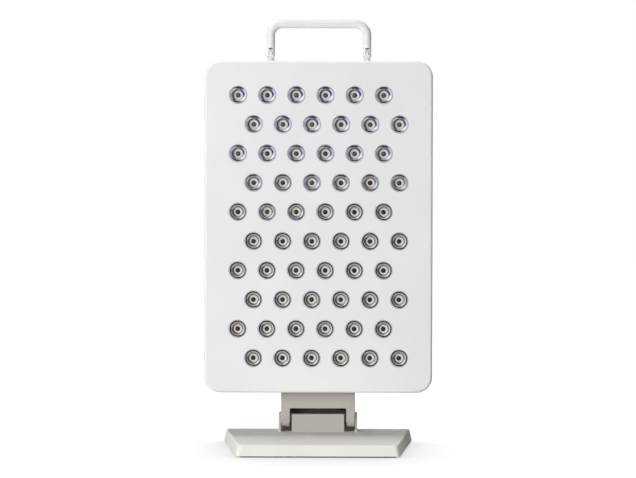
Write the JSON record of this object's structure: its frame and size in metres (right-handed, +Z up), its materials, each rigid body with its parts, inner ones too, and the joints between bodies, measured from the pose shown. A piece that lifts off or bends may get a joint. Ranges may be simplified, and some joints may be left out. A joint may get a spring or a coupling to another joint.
{
  "type": "light therapy lamp",
  "caption": "Flat rectangular light therapy panel with a grid of round lenses, on a tilting hinge stand with a folding carry handle and rear switches.",
  "frame": {"origin": "centre of the base pad's underside, on the desk", "axes": "+Z up, front of the panel faces -Y, +X to the right as seen from the front"},
  "size_m": [0.21, 0.1387, 0.3975],
  "materials": {
    "panel_paint": "satin",
    "stand_paint": "satin",
    "stand_casting": "satin",
    "handle_paint": "gloss",
    "steel": "satin",
    "dark_steel": "satin",
    "pad_rubber": "matte",
    "friction_disc": "satin",
    "clear_lens": "polished",
    "dark_cup": "gloss",
    "diode": "satin",
    "board_face": "satin",
    "sink_aluminium": "satin",
    "black_plastic": "matte",
    "fan_plastic": "satin",
    "guard_chrome": "polished",
    "contact_brass": "satin",
    "red_rocker": "gloss",
    "black_rocker": "gloss",
    "tray_aluminium": "satin",
    "board_green": "satin",
    "component_plastic": "satin",
    "wire_sleeve": "satin"
  },
  "bodies": {
    "base": {"base_cover": "stand_casting", "base_weight": "dark_steel", "base_pad": "pad_rubber", "base_screws": "steel", "block_screws": "steel", "hinge_block": "stand_paint", "hinge_pin": "steel", "friction_washers": "friction_disc"},
    "head": {"neck": "stand_paint", "neck_bolts": "dark_steel", "neck_backing_plate": "steel", "front_panel": "panel_paint", "rear_housing": "panel_paint", "case_screws": "steel", "lenses": "clear_lens", "lens_holders": "dark_cup", "led_chips": "diode", "led_board": "board_face", "heatsink": "sink_aluminium", "board_screws": "steel", "standoffs": "steel", "rear_screws": "steel", "fan_frames": "fan_plastic", "fan_guards": "guard_chrome", "fan_screws": "steel", "fan_nuts": "steel", "power_inlet": "black_plastic", "inlet_pins": "contact_brass", "switch_housings": "black_plastic", "supply_tray": "tray_aluminium", "supply_board": "board_green", "supply_parts": "component_plastic", "supply_screws": "steel", "wiring": "wire_sleeve", "handle_posts": "handle_paint", "post_nuts": "steel"},
    "handle": {"handle": "handle_paint", "handle_pins": "steel"},
    "rocker_red": {"rocker_red": "red_rocker"},
    "rocker_infrared": {"rocker_infrared": "black_rocker"},
    "fan_rotor_upper": {"fan_rotor_upper": "fan_plastic"},
    "fan_rotor_lower": {"fan_rotor_lower": "fan_plastic"}
  },
  "joints": [
    {"name": "head_tilt", "type": "hinge", "parent": "base", "child": "head", "pos_m": [0, 0.046, 0.024], "axis": [1, 0, 0], "range_deg": [-15, 30]},
    {"name": "handle_fold", "type": "hinge", "parent": "head", "child": "handle", "pos_m": [0, 0.03725, 0.3663], "axis": [1, 0, 0], "range_deg": [-90, 90]},
    {"name": "red_switch", "type": "hinge", "parent": "head", "child": "rocker_red", "pos_m": [-0.072, 0.06635, 0.084], "axis": [1, 0, 0], "range_deg": [0, 16]},
    {"name": "infrared_switch", "type": "hinge", "parent": "head", "child": "rocker_infrared", "pos_m": [-0.05, 0.06635, 0.084], "axis": [1, 0, 0], "range_deg": [0, 16]},
    {"name": "upper_fan_spin", "type": "hinge", "parent": "head", "child": "fan_rotor_upper", "pos_m": [0, 0.06, 0.297], "axis": [0, 1, 0], "continuous": true},
    {"name": "lower_fan_spin", "type": "hinge", "parent": "head", "child": "fan_rotor_lower", "pos_m": [0, 0.06, 0.207], "axis": [0, 1, 0], "continuous": true}
  ]
}
